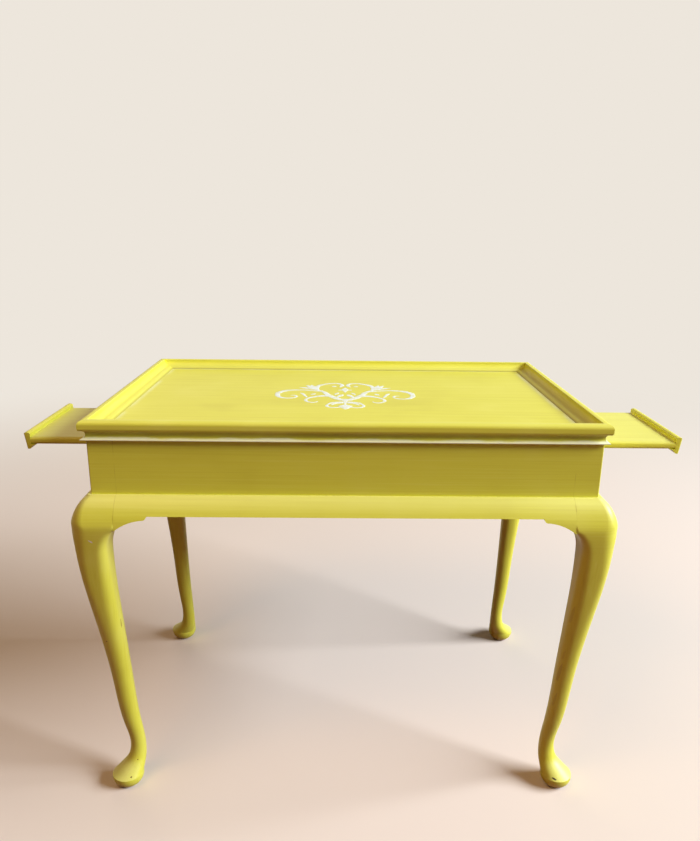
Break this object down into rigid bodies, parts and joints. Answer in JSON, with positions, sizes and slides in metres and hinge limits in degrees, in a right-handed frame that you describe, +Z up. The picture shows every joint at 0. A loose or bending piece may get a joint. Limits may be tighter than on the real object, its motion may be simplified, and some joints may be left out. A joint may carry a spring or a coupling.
{
  "type": "tea table",
  "caption": "Rectangular tea table with a moulded tray top, rounded skirt, cabriole legs on pad feet and a pull-out candle slide at each end.",
  "frame": {"origin": "on the floor, under the middle of the table", "axes": "+X along the table's length to the right, +Y to the back, +Z up"},
  "size_m": [1.0954, 0.5272, 0.646],
  "materials": {
    "painted_wood": "hand-brushed chartreuse yellow satin paint with worn edges",
    "bare_beech": "planed, unfinished",
    "screw_steel": "dull zinc-plated slotted screws"
  },
  "bodies": {
    "table": {"apron_back": "painted_wood", "apron_front": "painted_wood", "apron_left": "painted_wood", "apron_right": "painted_wood", "brace_screws": "screw_steel", "corner_brace_back_left": "bare_beech", "corner_brace_back_right": "bare_beech", "corner_brace_front_left": "bare_beech", "corner_brace_front_right": "bare_beech", "knee_bracket_back_left": "painted_wood", "knee_bracket_back_right": "painted_wood", "knee_bracket_end_back_left": "painted_wood", "knee_bracket_end_back_right": "painted_wood", "knee_bracket_end_front_left": "painted_wood", "knee_bracket_end_front_right": "painted_wood", "knee_bracket_front_left": "painted_wood", "knee_bracket_front_right": "painted_wood", "leg_back_left": "painted_wood", "leg_back_right": "painted_wood", "leg_front_left": "painted_wood", "leg_front_right": "painted_wood", "panel_screws": "screw_steel", "rim_back": "painted_wood", "rim_front": "painted_wood", "rim_left": "painted_wood", "rim_right": "painted_wood", "skirt_back": "painted_wood", "skirt_front": "painted_wood", "skirt_left": "painted_wood", "skirt_right": "painted_wood", "slide_runner_back": "bare_beech", "slide_runner_front": "bare_beech", "top_panel": "painted_wood"},
    "left_slide": {"candle_slide_left": "painted_wood", "slide_pull_left": "painted_wood", "slide_stop_pins_left": "bare_beech"},
    "right_slide": {"candle_slide_right": "painted_wood", "slide_pull_right": "painted_wood", "slide_stop_pins_right": "bare_beech"}
  },
  "joints": [
    {"name": "left_slide_travel", "type": "slide", "parent": "table", "child": "left_slide", "axis": [-1, 0, 0], "range_m": [-0.1337, 0.0513]},
    {"name": "right_slide_travel", "type": "slide", "parent": "table", "child": "right_slide", "axis": [1, 0, 0], "range_m": [-0.1647, 0.0203]}
  ]
}
